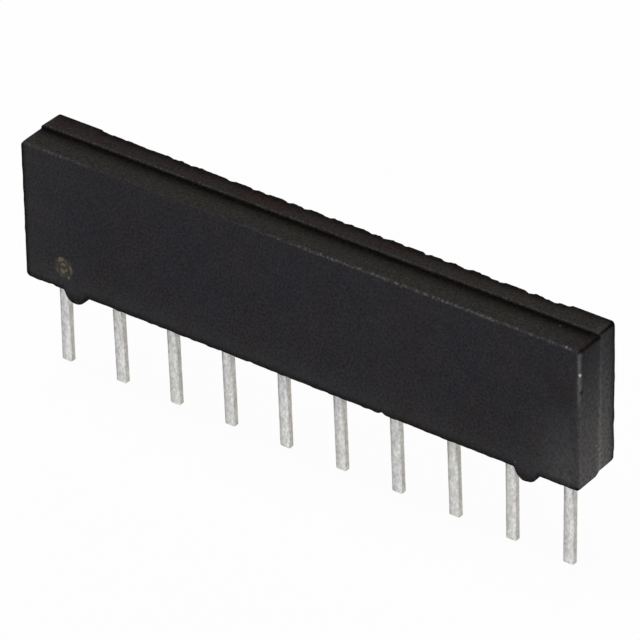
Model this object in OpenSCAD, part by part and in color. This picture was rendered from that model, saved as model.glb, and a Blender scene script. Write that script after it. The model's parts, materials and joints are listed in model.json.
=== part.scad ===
// Single-in-line resistor network: a moulded body over a printed ceramic strip with one row of flat leads.
// Millimetres. X runs along the lead row with lead 1 at the low end, the marked face looks along -Y, Z is up.
// The origin is the middle of the lead row on the seating plane, which is the underside of the stand-offs.

/* [Leads] */
// Number of leads in the row
lead_count = 10; // [4:1:14]
// Distance between neighbouring leads
lead_pitch = 2.54; // [1.8:0.01:5.08]
// Width of a lead
lead_w = 0.46; // [0.3:0.01:0.6]
// Thickness of a lead
lead_t = 0.25; // [0.15:0.01:0.4]
// Length of a lead below the seating plane
lead_below = 3.5; // [2:0.05:12]
// Chamfer on the corners of the trimmed tip
tip_chamfer = 0.07; // [0.01:0.01:0.12]
// Width of the paddle at the inner end of a lead
paddle_w = 0.8; // [0.65:0.01:1]
// Height of the paddle at the inner end of a lead
paddle_h = 0.8; // [0.4:0.05:1.2]

/* [Body] */
// Height of one mould half at the parting plane
body_h = 5.84; // [4.8:0.01:9]
// Body beyond the centre of the outermost lead
end_overhang = 1.01; // [0.96:0.01:2]
// Moulding in front of the leads
front_cover = 0.985; // [0.3:0.005:2]
// Moulding behind the ceramic strip
rear_cover = 0.28; // [0.15:0.01:1]
// Moulding above the ceramic strip
top_cover = 0.55; // [0.2:0.01:1]
// Moulding below the ceramic strip
bottom_cover = 0.95; // [0.3:0.01:1.5]
// Moulding beyond each end of the ceramic strip
end_cover = 0.3; // [0.2:0.01:0.33]
// Draft of the mould walls, in degrees
draft = 1; // [0.25:0.25:3]
// Height by which the rear half sits above the front half
half_shift = 0.125; // [0:0.005:0.25]
// Radius of the moulded edges
edge_r = 0.05; // [0.03:0.01:0.2]
// Width, along the top, of the facet where the moulding gate broke off the rear top edge
gate_w = 0.2; // [0.1:0.01:0.25]
// Depth of that facet down the rear face
gate_h = 0.1; // [0.06:0.01:0.15]
// Whole edge beyond each end of that facet
gate_inset = 2.1; // [1:0.05:4]

/* [Stand-offs] */
// Height of the body above the seating plane
standoff_h = 0.45; // [0.2:0.01:0.48]
// Radius of a half-round stand-off
standoff_r = 0.5; // [0.49:0.01:0.64]

/* [Printed circuit] */
// Thickness of the ceramic strip
substrate_t = 0.635; // [0.3:0.005:1]
// Thickness of one printed layer
film_t = 0.02; // [0.01:0.005:0.04]
// Thickness of the solder under a paddle
solder_t = 0.05; // [0.02:0.01:0.1]
// Solder beyond the edge of a paddle
solder_lip = 0.08; // [0.02:0.01:0.1]
// Printed pad beyond the edge of the solder
pad_lip = 0.12; // [0.02:0.01:0.13]
// Bare ceramic between the print and the long edges of the strip
strip_rim = 0.1; // [0.05:0.01:0.2]
// Height of the common bus
bus_h = 0.5; // [0.3:0.05:0.8]
// Width of the track from the first pad to the bus
track_w = 0.6; // [0.3:0.05:1]
// Width of a resistor element
element_w = 1; // [0.6:0.05:1.1]
// Length of an element's overlap on a conductor
element_lap = 0.25; // [0.1:0.05:0.35]
// Width of the trim cut in an element
trim_kerf = 0.06; // [0.03:0.01:0.15]
// Depth of the trim cut from the side of an element
trim_depth = 0.45; // [0.1:0.05:0.5]
// Thickness of the glass coat over the elements
coat_t = 0.03; // [0.01:0.01:0.08]
// Glass coat beyond what it covers, and clear of the solder
coat_lip = 0.09; // [0.02:0.01:0.1]

/* [Hidden] */
arc_steps = 4;
standoff_facets = 64;

row_l = (lead_count - 1) * lead_pitch;
body_l = row_l + 2 * end_overhang;
gate_l = body_l - 2 * gate_inset;
pins = [1 : lead_count];
element_pins = [2 : lead_count];
standoff_x = (row_l - lead_pitch) / 2;

// The parting plane lies on the rear faces of the leads
parting_y = lead_t / 2;
ceramic_y = parting_y + solder_t + film_t;
front_depth = lead_t + front_cover;
rear_depth = ceramic_y + substrate_t + rear_cover - parting_y;

body_z = standoff_h;
strip_z = body_z + bottom_cover;
strip_h = body_h - bottom_cover - top_cover;
strip_l = body_l - 2 * end_cover;

pad_z = strip_z + strip_rim;
paddle_z = pad_z + pad_lip + solder_lip;
solder_top_z = paddle_z + paddle_h + solder_lip;
coat_z = solder_top_z + coat_lip;
coat_top_z = strip_z + strip_h - strip_rim;
element_z = coat_z + coat_lip;
pad_top_z = element_z + element_lap;
bus_top_z = coat_top_z - coat_lip;
bus_z = bus_top_z - bus_h;
element_top_z = bus_z + element_lap;
solder_w = paddle_w + 2 * solder_lip;
pad_w = solder_w + 2 * pad_lip;
coat_w = row_l + element_w + 2 * coat_lip;

body_color = "#2b2b2e";
lead_color = "#b9bab8";
ceramic_color = "#e9e6de";
conductor_color = "#a9a9a4";
element_color = "#33302e";
glass_color = "#3f6b57";
solder_color = "#cfd1d2";

function two_digits(n) = n < 10 ? str("0", n) : str(n);
function numbered(name, n) = str(name, "_", two_digits(n));
function pin_x(n) = (n - 1) * lead_pitch - row_l / 2;
function arc(centre, r, start, end) =
    [for (i = [0 : arc_steps]) let (a = start + (end - start) * i / arc_steps) centre + r * [cos(a), sin(a)]];

// Section of a mould half: full width at the parting plane, drafted towards a rounded outer face
function half_profile(depth, width) =
    let (
        corner_x = depth - edge_r,
        corner_y = width / 2 - corner_x * tan(draft) - edge_r / cos(draft)
    )
    concat(
        [[0, -width / 2]],
        arc([corner_x, -corner_y], edge_r, draft - 90, 0),
        arc([corner_x, corner_y], edge_r, 0, 90 - draft),
        [[0, width / 2]]
    );

function rounded_outline(length, height, r) =
    let (x = length / 2 - r, z = height / 2 - r)
    concat(arc([x, z], r, 0, 90), arc([-x, z], r, 90, 180), arc([-x, -z], r, 180, 270), arc([x, -z], r, 270, 360));

// Turns an outline drawn in X and Z into a plate from depth y to y + t
module plate(y, t) {
    translate([0, y + t, 0])
        rotate([90, 0, 0])
            linear_extrude(t)
                children();
}

// Outline of a rectangle centred on x that runs from z to top
module upright(x, width, z, top) {
    translate([x - width / 2, z])
        square([width, top - z]);
}

// One mould half with its stand-offs: parting plane at Y = 0, outer face at Y = depth, seat at Z = 0
module mould_half(depth) {
    translate([0, 0, body_z + body_h / 2])
        intersection() {
            translate([-body_l / 2, 0, 0])
                rotate([90, 0, 90])
                    linear_extrude(body_l)
                        polygon(half_profile(depth, body_h));
            translate([0, 0, -body_h / 2])
                rotate([0, 0, 90])
                    linear_extrude(body_h)
                        polygon(half_profile(depth, body_l));
            plate(0, depth)
                polygon(rounded_outline(body_l, body_h, edge_r));
        }
    for (side = [-1, 1])
        translate([side * standoff_x, 0, standoff_r])
            rotate([-90, 0, 0])
                cylinder(r = standoff_r, h = depth, $fn = standoff_facets);
}

// Cutter for the facet that the broken gate left along the rear top edge
module gate_facet() {
    translate([-gate_l / 2, parting_y + rear_depth, body_z + half_shift + body_h - rear_depth * tan(draft)])
        rotate([90, 0, 90])
            linear_extrude(gate_l)
                polygon([
                    [-gate_w, gate_w * tan(draft)],
                    [0, -gate_h],
                    [gate_w, -gate_h],
                    [gate_w, gate_h],
                    [-gate_w, gate_h]
                ]);
}

module body_outside() {
    translate([0, parting_y, 0])
        mirror([0, 1, 0])
            mould_half(front_depth);
    difference() {
        translate([0, parting_y, half_shift])
            mould_half(rear_depth);
        gate_facet();
    }
}

// Flat stamped lead: chamfered tip, straight stem, and a paddle with sloping shoulders
module lead(n) {
    stem = lead_w / 2;
    wing = paddle_w / 2;
    right_side = [
        [stem - tip_chamfer, -lead_below],
        [stem, tip_chamfer - lead_below],
        [stem, paddle_z - (wing - stem)],
        [wing, paddle_z],
        [wing, paddle_z + paddle_h]
    ];
    last = len(right_side) - 1;
    left_side = [for (i = [0 : last]) let (p = right_side[last - i]) [-p[0], p[1]]];
    color(lead_color)
        translate([pin_x(n), 0, 0])
            plate(-lead_t / 2, lead_t)
                polygon(concat(right_side, left_side));
}

module solder(n) {
    color(solder_color)
        plate(parting_y, solder_t)
            upright(pin_x(n), solder_w, paddle_z - solder_lip, solder_top_z);
}

// Printed conductor of one lead: the first one also carries the track and the common bus
module conductor(n) {
    color(conductor_color)
        plate(ceramic_y - film_t, film_t) {
            upright(pin_x(n), pad_w, pad_z, pad_top_z);
            if (n == 1) {
                upright(pin_x(n), track_w, pad_z, bus_top_z);
                upright(0, row_l + element_w, bus_z, bus_top_z);
            }
        }
}

// Printed resistor element: lies on the ceramic, climbs onto both conductors, and has a trim cut in one side
module element(n) {
    film_y = ceramic_y - film_t;
    lap_y = film_y - film_t;
    section = [
        [ceramic_y, pad_top_z],
        [film_y, pad_top_z],
        [film_y, element_z],
        [lap_y, element_z],
        [lap_y, pad_top_z + film_t],
        [film_y, pad_top_z + 2 * film_t],
        [film_y, bus_z - 2 * film_t],
        [lap_y, bus_z - film_t],
        [lap_y, element_top_z],
        [film_y, element_top_z],
        [film_y, bus_z],
        [ceramic_y, bus_z]
    ];
    trim_z = (pad_top_z + bus_z) / 2;
    color(element_color)
        translate([pin_x(n), 0, 0])
            difference() {
                translate([-element_w / 2, 0, 0])
                    rotate([90, 0, 90])
                        linear_extrude(element_w)
                            polygon(section);
                translate([-element_w / 2 - trim_kerf, 0, 0])
                    plate(lap_y, 2 * film_t + trim_kerf)
                        upright(
                            (trim_depth + trim_kerf) / 2, trim_depth + trim_kerf,
                            trim_z - trim_kerf / 2, trim_z + trim_kerf / 2
                        );
            }
}

module glass_coat() {
    color(glass_color)
        difference() {
            plate(ceramic_y - 2 * film_t - coat_t, 2 * film_t + coat_t)
                upright(0, coat_w, coat_z, coat_top_z);
            for (n = pins)
                conductor(n);
            for (n = element_pins)
                element(n);
        }
}

module substrate() {
    color(ceramic_color)
        plate(ceramic_y, substrate_t)
            upright(0, strip_l, strip_z, strip_z + strip_h);
}

module circuit() {
    substrate();
    glass_coat();
    for (n = pins) {
        lead(n);
        solder(n);
        conductor(n);
    }
    for (n = element_pins)
        element(n);
}

module moulded_body() {
    color(body_color)
        difference() {
            body_outside();
            circuit();
        }
}

moulded_body();
substrate();
glass_coat();
for (n = pins) {
    lead(n);
    conductor(n);
    solder(n);
}
for (n = element_pins)
    element(n);
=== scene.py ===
"""Looks of a moulded single-in-line resistor network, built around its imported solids.

X runs along the lead row with lead 1 at the low end, the marked face looks along -Y and Z is up.
Sizes are written in millimetres times MM, because the frame is in metres.
"""

import json
import logging
import math
from dataclasses import dataclass
from enum import Enum

import bpy
import numpy as np
from mathutils import Matrix, Vector

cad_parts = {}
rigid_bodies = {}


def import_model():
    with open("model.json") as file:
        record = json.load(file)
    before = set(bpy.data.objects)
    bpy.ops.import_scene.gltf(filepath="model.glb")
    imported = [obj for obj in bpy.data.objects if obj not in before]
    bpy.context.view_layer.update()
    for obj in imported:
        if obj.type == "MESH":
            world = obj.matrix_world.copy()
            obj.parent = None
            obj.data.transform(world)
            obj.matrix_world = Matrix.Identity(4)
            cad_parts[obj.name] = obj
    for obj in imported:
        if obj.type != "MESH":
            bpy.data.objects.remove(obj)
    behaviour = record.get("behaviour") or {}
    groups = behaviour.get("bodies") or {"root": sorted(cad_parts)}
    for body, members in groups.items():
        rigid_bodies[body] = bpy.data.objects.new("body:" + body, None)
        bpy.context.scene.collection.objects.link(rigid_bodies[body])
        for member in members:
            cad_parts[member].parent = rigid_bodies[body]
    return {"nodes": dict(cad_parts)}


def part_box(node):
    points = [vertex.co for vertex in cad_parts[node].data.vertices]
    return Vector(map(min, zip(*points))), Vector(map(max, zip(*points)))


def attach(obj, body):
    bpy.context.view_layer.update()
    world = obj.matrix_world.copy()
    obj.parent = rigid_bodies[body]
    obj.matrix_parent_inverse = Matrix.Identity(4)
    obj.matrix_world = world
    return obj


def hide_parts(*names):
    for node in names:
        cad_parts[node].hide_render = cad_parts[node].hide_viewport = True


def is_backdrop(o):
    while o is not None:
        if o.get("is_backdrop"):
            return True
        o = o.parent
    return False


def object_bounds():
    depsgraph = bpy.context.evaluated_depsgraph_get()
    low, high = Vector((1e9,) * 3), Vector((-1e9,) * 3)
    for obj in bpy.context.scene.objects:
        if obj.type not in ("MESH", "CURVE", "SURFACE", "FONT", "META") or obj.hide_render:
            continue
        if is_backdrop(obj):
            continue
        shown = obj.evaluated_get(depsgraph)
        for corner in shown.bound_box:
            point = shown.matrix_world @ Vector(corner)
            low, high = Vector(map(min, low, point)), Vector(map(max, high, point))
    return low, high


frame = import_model()

MM = 0.001
LOG = logging.getLogger("resistor_network")

Triple = tuple[float, float, float]
Colour = Triple
Span = tuple[float, float]
Face = tuple[int, ...]

# Ranges of a noise's values that are stretched to a full change.
WIDE: Span = (0.25, 0.75)
MIDDLE: Span = (0.3, 0.7)
NARROW: Span = (0.4, 0.6)
UNIT: Span = (0.0, 1.0)


class Half(Enum):
    """The two halves of the mould, by the way their outer face looks along Y."""

    FRONT = -1
    REAR = 1


class Mark(Enum):
    """Point attributes that a mesh hands to its material."""

    # Edge wear, with painted highlights along lit edges.
    WEAR = "wear_and_highlight"
    # Painted shade: by the parting step, along rims and in corners.
    SHADE = "shade"
    # Painted light: on the ends, in lower corners and along the underside, with painted glints.
    RUB = "painted_light"
    # Painted warm light on the tops, and brown along the painted shade of the rear rim.
    DUST = "warm_tint"
    # Painted light and shade across the leads.
    TONE = "tone"
    SIDE = "side"


def ripple(x: np.ndarray, wavelength: float, seed: int, steep: float = 1.0) -> np.ndarray:
    """Smooth seeded noise along one direction.

    Args:
        x: Positions, in metres.
        wavelength: Distance between the noise's knots, in metres.
        seed: Picks one noise out of many.
        steep: Above 1, level stretches with short slopes between them.

    Returns:
        Values from -1 to 1, one for each position.
    """
    start = float(np.min(x))
    count = int((float(np.max(x)) - start) / wavelength) + 3
    knots = np.random.default_rng(seed).uniform(-1.0, 1.0, count)
    place = (x - start) / wavelength
    cell = np.floor(place).astype(int)
    eased = ramp((place - cell - 0.5) * steep + 0.5, 0.0, 1.0)
    return knots[cell] * (1.0 - eased) + knots[cell + 1] * eased


def ramp(x: np.ndarray, low: float, high: float) -> np.ndarray:
    """Smooth step from 0 at low to 1 at high, which may lie in either order."""
    share = np.clip((x - low) / (high - low), 0.0, 1.0)
    return share * share * (3.0 - 2.0 * share)


@dataclass(frozen=True)
class Band:
    """A soft band along an edge: full strength on the edge, fading over its reach."""

    reach: float
    strength: float

    def on(self, distance: np.ndarray) -> np.ndarray:
        """Strength of the band at each distance from the edge."""
        return self.strength * np.exp(-((distance / self.reach) ** 2))


@dataclass(frozen=True)
class Fade:
    """A smooth change from a first level to a second one between two places."""

    places: Span
    levels: Span = UNIT

    def on(self, x: np.ndarray) -> np.ndarray:
        """Level at each place."""
        first, second = self.levels
        return first + (second - first) * ramp(x, *self.places)


@dataclass(frozen=True)
class Curve:
    """Levels at given places, with straight lines between them."""

    places: tuple[float, ...]
    levels: tuple[float, ...]

    def on(self, x: np.ndarray) -> np.ndarray:
        """Level at each place."""
        return np.interp(x, self.places, self.levels)


@dataclass(frozen=True)
class Ragged:
    """Seeded noise along an edge."""

    wavelength: float
    seed: int
    steep: float = 1.0

    def on(self, x: np.ndarray) -> np.ndarray:
        """Noise from -1 to 1 at each place."""
        return ripple(x, self.wavelength, self.seed, self.steep)

    def bites(self, x: np.ndarray) -> np.ndarray:
        """Noise from 0 to 1 at each place."""
        return 0.5 + 0.5 * self.on(x)


def tube_faces(start: int, rings: int, count: int) -> list[Face]:
    """Faces between rings of points that follow each other.

    Args:
        start: Number of the first ring's first point.
        rings: Number of rings.
        count: Points in each ring.

    Returns:
        Vertex numbers of each face.
    """
    faces = []
    for near in range(start, start + (rings - 1) * count, count):
        far = near + count
        for i in range(count):
            after = (i + 1) % count
            faces.append((near + i, near + after, far + after, far + i))
    return faces


def mesh_piece(name: str, points: np.ndarray, faces: list[Face], sharp_deg: float) -> bpy.types.Object:
    """Makes a smooth-shaded mesh object in the row frame and lets it ride on the one body.

    Args:
        name: Name of the piece.
        points: Vertices, in metres.
        faces: Vertex numbers of each face.
        sharp_deg: Edges that turn more than this stay sharp.

    Returns:
        The new object.
    """
    mesh = bpy.data.meshes.new(name)
    mesh.from_pydata(points.tolist(), [], faces)
    mesh.validate()
    mesh.polygons.foreach_set("use_smooth", [True] * len(mesh.polygons))
    mesh.set_sharp_from_angle(angle=math.radians(sharp_deg))
    mesh.update()
    piece = bpy.data.objects.new(name, mesh)
    bpy.context.scene.collection.objects.link(piece)
    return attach(piece, "root")


def set_mark(piece: bpy.types.Object, mark: Mark, values: np.ndarray) -> None:
    """Stores one value for each point of a piece."""
    attribute = piece.data.attributes.new(mark.value, "FLOAT", "POINT")
    attribute.data.foreach_set("value", values)


class Board:
    """The node board of one material, with short ways to add and wire nodes."""

    def __init__(self, name: str) -> None:
        """Starts an empty material with a Principled shader."""
        self.material = bpy.data.materials.new(name)
        self.material.use_nodes = True
        self.tree = self.material.node_tree
        self.shader = self.tree.nodes["Principled BSDF"]
        self.coords = self.add("ShaderNodeTexCoord").outputs["Object"]

    def add(self, kind: str, **settings: object) -> bpy.types.Node:
        """Adds one node.

        Args:
            kind: Blender's name of the node type.
            settings: Properties to set on the node.

        Returns:
            The new node.
        """
        node = self.tree.nodes.new(kind)
        for key, value in settings.items():
            setattr(node, key, value)
        return node

    def feed(self, socket: bpy.types.NodeSocket, value: object) -> None:
        """Links an output to a socket, or sets the socket's own value."""
        if isinstance(value, bpy.types.NodeSocket):
            self.tree.links.new(value, socket)
        else:
            socket.default_value = value

    def noise(self, size: float, detail: float = 2.0, stretch: Triple = (1.0, 1.0, 1.0),
              offset: float = 0.0) -> bpy.types.NodeSocket:
        """Noise whose blobs are about size across.

        Args:
            size: Blob size, in metres.
            detail: Number of finer layers.
            stretch: Scale along each axis before the noise.
            offset: Shift of the pattern, so that two noises differ.

        Returns:
            The noise's value output.
        """
        mapping = self.add("ShaderNodeMapping")
        mapping.inputs["Scale"].default_value = stretch
        mapping.inputs["Location"].default_value = (offset, offset, offset)
        self.feed(mapping.inputs["Vector"], self.coords)
        texture = self.add("ShaderNodeTexNoise")
        self.feed(texture.inputs["Vector"], mapping.outputs["Vector"])
        texture.inputs["Scale"].default_value = 1.0 / size
        texture.inputs["Detail"].default_value = detail
        return texture.outputs["Fac"]

    def span(self, value: bpy.types.NodeSocket, source: Span, target: Span) -> bpy.types.NodeSocket:
        """Maps a clamped range of values to another range."""
        node = self.add("ShaderNodeMapRange", interpolation_type="SMOOTHSTEP")
        self.feed(node.inputs["Value"], value)
        node.inputs["From Min"].default_value, node.inputs["From Max"].default_value = source
        node.inputs["To Min"].default_value, node.inputs["To Max"].default_value = target
        return node.outputs["Result"]

    def calc(self, operation: str, first: object, second: object = 0.0) -> bpy.types.NodeSocket:
        """One arithmetic step between two values."""
        node = self.add("ShaderNodeMath", operation=operation)
        self.feed(node.inputs[0], first)
        self.feed(node.inputs[1], second)
        return node.outputs["Value"]

    def mix(self, share: object, first: object, second: object, blend: str = "MIX") -> bpy.types.NodeSocket:
        """Mixes two colours.

        Args:
            share: Weight of the second colour.
            first: First colour, or an output.
            second: Second colour, or an output.
            blend: Blender's name of the blend.

        Returns:
            The mixed colour's output.
        """
        node = self.add("ShaderNodeMix", data_type="RGBA", blend_type=blend)
        self.feed(node.inputs["Factor"], share)
        for key, value in (("A", first), ("B", second)):
            socket = next(s for s in node.inputs if s.name == key and s.type == "RGBA")
            self.feed(socket, value if isinstance(value, bpy.types.NodeSocket) else (*value, 1.0))
        return next(s for s in node.outputs if s.type == "RGBA")

    def times(self, colour: object, value: bpy.types.NodeSocket) -> bpy.types.NodeSocket:
        """Multiplies a colour by one value."""
        grey = self.add("ShaderNodeCombineColor")
        for socket in grey.inputs[:3]:
            self.feed(socket, value)
        return self.mix(1.0, colour, grey.outputs["Color"], "MULTIPLY")

    def mark(self, mark: Mark) -> bpy.types.NodeSocket:
        """Value of one of the mesh's point attributes."""
        return self.add("ShaderNodeAttribute", attribute_name=mark.value).outputs["Fac"]

    def bump(self, height: bpy.types.NodeSocket, depth: float, strength: float) -> None:
        """Roughens the shader's normal by a height of about depth."""
        node = self.add("ShaderNodeBump")
        node.inputs["Strength"].default_value = strength
        node.inputs["Distance"].default_value = depth
        self.feed(node.inputs["Height"], height)
        self.feed(self.shader.inputs["Normal"], node.outputs["Normal"])


@dataclass(frozen=True)
class Spot:
    """A small round flaw in a surface."""

    place: Triple
    radius: float
    strength: float = 1.0

    def mask(self, board: Board) -> bpy.types.NodeSocket:
        """The spot's strength on it and 0 away from it."""
        away = board.add("ShaderNodeVectorMath", operation="DISTANCE")
        board.feed(away.inputs[0], board.coords)
        away.inputs[1].default_value = self.place
        return board.span(away.outputs["Value"], (0.35 * self.radius, self.radius), (self.strength, 0.0))


@dataclass(frozen=True)
class PinOneMark:
    """The round burnt mark beside lead 1: a brown disc with broken paler rings."""

    x: float = -10.65 * MM
    z: float = 1.42 * MM
    radius: float = 0.455 * MM
    ring: float = 0.22 * MM
    ring_shift: float = 0.085 * MM
    fill: Colour = (0.056, 0.043, 0.031)
    foot_fill: Colour = (0.050, 0.052, 0.036)
    stroke: Colour = (0.112, 0.099, 0.080)
    wobble: float = 0.05 * MM
    wobble_size: float = 0.2 * MM
    rim: Span = (-0.09 * MM, 0.06 * MM)
    blob: float = 0.16 * MM
    foot: Span = (-0.28 * MM, -0.12 * MM)

    def draw(self, board: Board, ground: bpy.types.NodeSocket, front_y: float) -> bpy.types.NodeSocket:
        """Draws the mark over a colour.

        Args:
            board: The material's node board.
            ground: The colour under the mark.
            front_y: The mark shows only in front of this Y.

        Returns:
            The colour with the mark on it.
        """
        split = board.add("ShaderNodeSeparateXYZ")
        board.feed(split.inputs["Vector"], board.coords)
        across = board.calc("SUBTRACT", split.outputs["X"], self.x)
        up = board.calc("SUBTRACT", split.outputs["Z"], self.z)
        square = board.calc("ADD", board.calc("MULTIPLY", across, across), board.calc("MULTIPLY", up, up))
        shake = board.noise(self.wobble_size, offset=5.0 * MM)
        wobble = board.span(shake, MIDDLE, (-self.wobble, self.wobble))
        radius = board.calc("ADD", board.calc("SQRT", square), wobble)
        disc = board.span(radius, (self.radius + self.rim[0], self.radius + self.rim[1]), (1.0, 0.0))
        facing = board.calc("MULTIPLY", disc, board.calc("LESS_THAN", split.outputs["Y"], front_y))
        turn = board.calc("SUBTRACT", radius, self.ring_shift)
        wave = board.calc("SINE", board.calc("MULTIPLY", turn, 2.0 * math.pi / self.ring))
        broken = board.span(board.noise(self.blob, offset=9.0 * MM), (0.42, 0.6), UNIT)
        rings = board.calc("MULTIPLY", board.span(wave, (-0.6, 0.6), (0.1, 1.0)), broken)
        patchy = board.span(board.noise(self.blob, offset=12.0 * MM), (0.35, 0.6), (0.25, 0.95))
        foot = board.span(up, self.foot, (1.0, 0.0))
        burnt = board.mix(foot, self.fill, self.foot_fill)
        filled = board.mix(board.calc("MULTIPLY", facing, patchy), ground, burnt)
        return board.mix(board.calc("MULTIPLY", facing, rings), filled, self.stroke)


@dataclass(frozen=True)
class MouldedEpoxy:
    """Matte black filled epoxy: fine grain, faint mottling, pale worn edges with painted highlights, painted
    shade in corners and along rims, painted light on the ends and a painted warm tint on the tops.
    """

    base: Colour = (0.0230, 0.0221, 0.0242)
    warm: Colour = (1.03, 1.0, 0.98)
    # Pale grey of worn edges and of the painted highlights on them.
    cool: Colour = (0.98, 0.98, 1.05)
    # Colour of the painted light.
    wear_and_painted_light: Colour = (0.105, 0.103, 0.105)
    painted_light_colour: Colour = (0.18, 0.174, 0.167)
    # Warm black that the painted shade blends towards.
    deep: Colour = (0.0040, 0.0034, 0.0028)
    # Tints of the painted warm light and of the brown along the painted shade.
    warm_tint_pale: Colour = (1.0, 0.99, 0.81)
    warm_tint_brown: Colour = (0.76, 0.45, 0.42)
    # Pale grey of flecks and of painted glints.
    fleck_and_glint: Colour = (0.42, 0.42, 0.43)
    specular: float = 0.01
    roughness: float = 0.78
    fine_grain: float = 0.05 * MM
    grain: float = 0.10 * MM
    mottle: float = 0.8 * MM
    tint_patch: float = 1.7 * MM
    bead: float = 0.085 * MM
    light_and_shade_blot: float = 0.13 * MM
    tint_blob: float = 0.11 * MM
    contrasts: Triple = (0.25, 0.30, 0.06)
    tint_blob_levels: Span = (0.8, 1.2)
    brown_levels: Span = (0.7, 1.1)
    painted_light_levels: Span = (0.62, 1.38)
    bead_range: Span = (0.44, 0.70)
    bead_levels: Span = (0.12, 1.0)
    shade_levels: Span = (0.84, 1.14)
    roughness_spread: float = 0.05
    grain_depth: float = 0.004 * MM
    grain_bump: float = 0.35
    # Pale flecks; the one on the end's parting line is a painted glint.
    flecks_and_glints: tuple[Spot, ...] = (
        Spot((12.42 * MM, -1.10 * MM, 5.30 * MM), 0.09 * MM),
        Spot((12.46 * MM, -0.06 * MM, 1.83 * MM), 0.06 * MM, 0.3),
        Spot((10.86 * MM, -0.10 * MM, 6.29 * MM), 0.05 * MM, 0.15),
        Spot((9.70 * MM, -1.11 * MM, 0.64 * MM), 0.06 * MM, 0.12),
        Spot((11.81 * MM, -1.10 * MM, 6.28 * MM), 0.07 * MM, 0.3),
        Spot((-10.43 * MM, -1.11 * MM, 1.06 * MM), 0.07 * MM, 0.25),
    )
    # Painted shade in dark spots on the right end and at its rear top corner.
    shaded_spots: tuple[Spot, ...] = (
        Spot((12.43 * MM, -1.02 * MM, 4.56 * MM), 0.13 * MM, 0.7),
        Spot((12.40 * MM, 1.06 * MM, 6.40 * MM), 0.2 * MM),
    )

    def material(self, pin_one: PinOneMark, front_y: float) -> bpy.types.Material:
        """Builds the material.

        Args:
            pin_one: The mark beside lead 1.
            front_y: The mark shows only in front of this Y.

        Returns:
            The finished material.
        """
        board = Board("moulded_epoxy")
        fine = board.noise(self.fine_grain)
        grain = board.noise(self.grain, detail=3.0, offset=2.0 * MM)
        broad = board.noise(self.mottle, offset=3.0 * MM)
        patch = board.noise(self.tint_patch, offset=7.0 * MM)
        tint = board.mix(board.span(patch, NARROW, UNIT), self.cool, self.warm)
        colour = board.mix(1.0, self.base, tint, "MULTIPLY")
        for layer, contrast in zip((fine, grain, broad), self.contrasts):
            colour = board.times(colour, board.span(layer, WIDE, (1.0 - contrast, 1.0 + contrast)))
        # Warm tint: painted warm light on the tops, browner along the painted shade of the rear rim.
        warm_tint = board.mark(Mark.DUST)
        tint_blobs = board.span(board.noise(self.tint_blob, detail=3.0, offset=17.0 * MM), MIDDLE, self.tint_blob_levels)
        warm_share = board.span(warm_tint, (0.0, 0.5), UNIT)
        tint_colour = board.mix(warm_share, (1.0, 1.0, 1.0), board.times(self.warm_tint_pale, tint_blobs))
        patchy = board.span(patch, NARROW, self.brown_levels)
        brown_share = board.calc("MULTIPLY", board.span(warm_tint, (0.5, 1.0), UNIT), patchy)
        tint_colour = board.mix(brown_share, tint_colour, board.times(self.warm_tint_brown, tint_blobs))
        colour = board.mix(1.0, colour, tint_colour, "MULTIPLY")
        # Painted light on the ends, the lower right of the front face and along the underside, with a painted
        # glint on the end's parting line.
        light_blots = board.noise(self.light_and_shade_blot, detail=4.0, offset=13.0 * MM)
        painted_light_grain = board.span(light_blots, MIDDLE, self.painted_light_levels)
        colour = board.mix(board.calc("MULTIPLY", board.mark(Mark.RUB), painted_light_grain), colour, self.painted_light_colour)
        # Edge wear and painted highlights along lit edges, broken into short dashes.
        beads = board.noise(self.bead, stretch=(1.0, 0.3, 1.0), offset=11.0 * MM)
        beaded = board.span(beads, self.bead_range, self.bead_levels)
        wear_and_painted_light = board.calc("MULTIPLY", board.mark(Mark.WEAR), beaded)
        colour = pin_one.draw(board, board.mix(wear_and_painted_light, colour, self.wear_and_painted_light), front_y)
        # Painted shade: dark bands by the parting step, along rims and in corners, blended towards a warm
        # black.
        shade_blots = board.span(board.noise(self.light_and_shade_blot, offset=15.0 * MM), (0.35, 0.65), self.shade_levels)
        colour = board.mix(board.calc("MULTIPLY", board.mark(Mark.SHADE), shade_blots), colour, self.deep)
        # Painted shade in dark spots, then pale flecks and painted glints.
        for spots, tone in ((self.shaded_spots, self.deep), (self.flecks_and_glints, self.fleck_and_glint)):
            for spot in spots:
                colour = board.mix(spot.mask(board), colour, tone)
        board.feed(board.shader.inputs["Base Color"], colour)
        rough = (self.roughness - self.roughness_spread, self.roughness + self.roughness_spread)
        board.feed(board.shader.inputs["Roughness"], board.span(broad, MIDDLE, rough))
        board.shader.inputs["Specular IOR Level"].default_value = self.specular
        board.bump(grain, self.grain_depth, self.grain_bump)
        return board.material


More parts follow.
